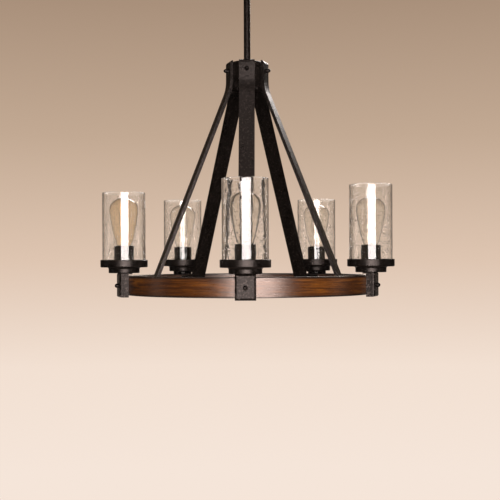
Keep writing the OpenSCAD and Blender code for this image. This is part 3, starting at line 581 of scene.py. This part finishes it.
def filament(i):
    """One filament up and down round the rod, a hook at each of its corners and two lead wires to its ends.

    Between corners the filament is a straight line bowed outwards by CAGE_BOW sin(pi t). A hook is one from the
    rod to just beyond its corner, raised by HOOK_RISE sin(pi t). A lead is straight, from LEAD_FOOT above the
    base and LEAD_SHARE of the way out from the axis, to the filament's end.
    """
    centre = AXIS[i]
    number = np.arange(CAGE_CORNERS)
    high = number % 2 == 1
    angle = CAGE_TURN * i + TAU * number / CAGE_CORNERS
    r = np.where(high, CAGE_HIGH_R, CAGE_LOW_R)
    corners = np.stack([centre[0] + r * np.cos(angle), centre[1] + r * np.sin(angle),
                        np.where(high, CAGE_HIGH, CAGE_LOW)], -1)
    s = np.linspace(0, CAGE_CORNERS - 1, CAGE_STEPS * (CAGE_CORNERS - 1) + 1)
    k = np.minimum(s.astype(int), CAGE_CORNERS - 2)
    t = (s - k)[:, None]
    line = corners[k] * (1 - t) + corners[k + 1] * t
    out = line[:, :2] - centre
    out /= np.linalg.norm(out, axis=1)[:, None]
    line[:, :2] += out * np.sin(math.pi * t) * CAGE_BOW
    wires = [wire(line, FILAMENT_R, np.stack([out[:, 0], out[:, 1], 0 * s], -1))]
    reach = np.linspace(0, 1, WIRE_STEPS)[:, None]
    for corner, top in zip(corners, high):
        rod = np.array((*centre, corner[2]))
        tip = corner + (0, 0, HOOK_GAP if top else -HOOK_GAP)
        hook = rod + (tip - rod) * reach + np.array((0, 0, HOOK_RISE)) * np.sin(math.pi * reach)
        wires.append(wire(hook, HOOK_R, np.broadcast_to((0.001, 0, 1.0), hook.shape)))
    for end in (corners[0], corners[-1]):
        foot = np.array((*centre, BASE_TOP + LEAD_FOOT)) + (end - (*centre, end[2])) * LEAD_SHARE
        lead = foot + (end - foot) * reach
        wires.append(wire(lead, LEAD_R, np.broadcast_to((0.3, 1.0, 0), lead.shape)))
    finished(f"filament_{i}", joined(*wires), TUNGSTEN, f"bulb_{i}")


for i in LAMPS:
    glass_cylinder(i)
    bulb_shell(i)
    screw_base(i)
    glass_stem(i)
    filament(i)


# Studio

def warm(*srgb):
    """A colour from its screen values of 0 to 255."""
    c = np.array(srgb) / 255
    return (*np.where(c <= 0.04045, c / 12.92, ((c + 0.055) / 1.055) ** 2.4).tolist(), 1)


def studio_world():
    """Warm backdrop, darker above, in a dark room, with plain dim light on what is not glossy.

    The backdrop's tones run from a direction's z of -0.2 up to 0.24. The camera and what shows through glass always
    meet it, at half its light after a reflection. Any other reflection meets it behind the part only, where the
    direction's y is close to 1.
    """
    world = bpy.data.worlds.new("studio")
    bpy.context.scene.world = world
    world.use_nodes = True
    tree = world.node_tree
    tree.nodes.clear()
    direction = add(tree, "ShaderNodeTexCoord").outputs["Generated"]
    apart = add(tree, "ShaderNodeSeparateXYZ", Vector=direction).outputs
    colour = toned(tree, between(tree, apart["Z"], -0.2, 0.24), (
        (0.0, warm(245, 229, 217)), (0.22, warm(242, 224, 210)), (0.45, warm(222, 197, 177)),
        (0.72, warm(194, 169, 147)), (1.0, warm(169, 144, 123))))
    path = add(tree, "ShaderNodeLightPath").outputs
    through = maths(tree, "MAXIMUM", path["Is Camera Ray"], path["Is Transmission Ray"])
    seen = maths(tree, "MAXIMUM", through, path["Is Glossy Ray"])
    dimmed = maths(tree, "MULTIPLY", through, between(tree, path["Glossy Depth"], 0.0, 1.0, 1.0, 0.5))
    behind = between(tree, apart["Y"], 0.86, 1.0, 0.05, 1.0)
    shown = add(tree, "ShaderNodeBackground", Color=colour, Strength=maths(tree, "MAXIMUM", dimmed, behind))
    fill = add(tree, "ShaderNodeBackground", Color=(1.0, 0.93, 0.87, 1), Strength=0.06)
    mix = add(tree, "ShaderNodeMixShader", i0=seen, i1=fill.outputs[0], i2=shown.outputs[0])
    tree.links.new(mix.outputs[0], add(tree, "ShaderNodeOutputWorld").inputs["Surface"])


FLOOR_Z, FLOOR_R, FLOOR_FADE, FLOOR_ROWS = -1.9, 1.3, (0.35, 1.25), 12


def floor():
    """Pale floor well below, a disc that fades out towards its edge: point (k, j) is (r_k cos a_j, r_k sin a_j)."""
    made, tree, shader = material("pale_floor")
    set_all(shader, Roughness=0.8)
    where = add(tree, "ShaderNodeTexCoord").outputs["Object"]
    pale = blended(tree, noise(tree, 30, where, 4), (0.78, 0.68, 0.60, 1), (0.84, 0.74, 0.66, 1))
    link_all(tree, shader, Base_Color=pale)
    clear = add(tree, "ShaderNodeBsdfTransparent")
    fade = between(tree, from_axis(tree, where), *FLOOR_FADE)
    shown_by(tree, add(tree, "ShaderNodeMixShader", i0=fade, i1=shader.outputs[0], i2=clear.outputs[0]))
    radii = np.linspace(0, FLOOR_R, FLOOR_ROWS)[::-1]
    shape = turned(np.stack([radii, np.full(FLOOR_ROWS, FLOOR_Z)], -1), (0, 0), 64)
    disc = placed("floor_disc", mesh_of("floor_disc", shape, made))


# Camera fitted to the edges measured in the photograph: focal length, frame, axis and horizon are in its pixels

CAMERA_AWAY, CAMERA_TURN, CAMERA_ROLL = 2.1255, math.radians(1.03), 0.0040
FOCAL_PX, FRAME_PX, AXIS_PX, HORIZON_PX = 1024.8, 500, 247.93, 257.96
SENSOR_MM = 36
EYE_Z = RIM_Z + 2.8 * MM


def studio_camera():
    """Level camera just above the pans' rims, in front of lamp 1."""
    lens = bpy.data.cameras.new("studio_camera")
    lens.sensor_width = SENSOR_MM
    lens.lens = SENSOR_MM * FOCAL_PX / FRAME_PX
    lens.shift_x = (FRAME_PX / 2 - AXIS_PX) / FRAME_PX
    lens.shift_y = (HORIZON_PX - FRAME_PX / 2) / FRAME_PX
    camera = placed("studio_camera", lens)
    camera.location = (CAMERA_AWAY * math.sin(CAMERA_TURN), -CAMERA_AWAY * math.cos(CAMERA_TURN), EYE_Z)
    camera.rotation_euler = (math.pi / 2, CAMERA_ROLL, CAMERA_TURN)
    bpy.context.scene.camera = camera


def soft_lamp(name, place, target, width, height, radiance, colour=(1, 1, 1), through_glass=True):
    """Rectangular soft lamp at place, facing target, of that radiance: power = radiance x pi x area.

    It shows in reflections, and with through_glass also straight through glass.
    """
    light = bpy.data.lights.new(name, "AREA")
    light.shape, light.size, light.size_y = "RECTANGLE", width, height
    light.energy, light.color = radiance * math.pi * width * height, colour
    lamp = placed(name, light)
    lamp.location = place
    toward = np.array(target) - np.array(place)
    rise = math.atan2(toward[2], math.hypot(toward[0], toward[1]))
    lamp.rotation_euler = (math.pi / 2 + rise, 0, math.atan2(-toward[0], toward[1]))
    lamp.visible_camera, lamp.visible_transmission = False, through_glass


studio_world()
floor()
studio_camera()

# Lamps: place, target, width, height, radiance, colour where it isn't white, and whether it shows through glass
soft_lamp("front_softbox", (0.23, -2.15, EYE_Z + 0.1), (0, 0, EYE_Z + 0.1), 1.55, 0.62, 15.0, (1.0, 0.92, 0.89))
soft_lamp("right_strip", (2.4, -0.2, EYE_Z + 0.1), (0, 0, EYE_Z), 0.5, 1.2, 0.35)
soft_lamp("left_strip", (-2.4, -0.2, EYE_Z + 0.1), (0, 0, EYE_Z), 0.5, 1.2, 0.35)
soft_lamp("top_fill", (0, -1.3, EYE_Z + 2.5), (0, -0.1, EYE_Z + 0.2), 1.2, 0.9, 2.5, (1.0, 0.88, 0.84), False)
soft_lamp("rear_fill", (0.7, 2.3, 0.9), (0, 0, -0.6), 1.8, 1.0, 11.0, (1.0, 0.93, 0.89), False)

bpy.context.scene.view_settings.view_transform = "Standard"
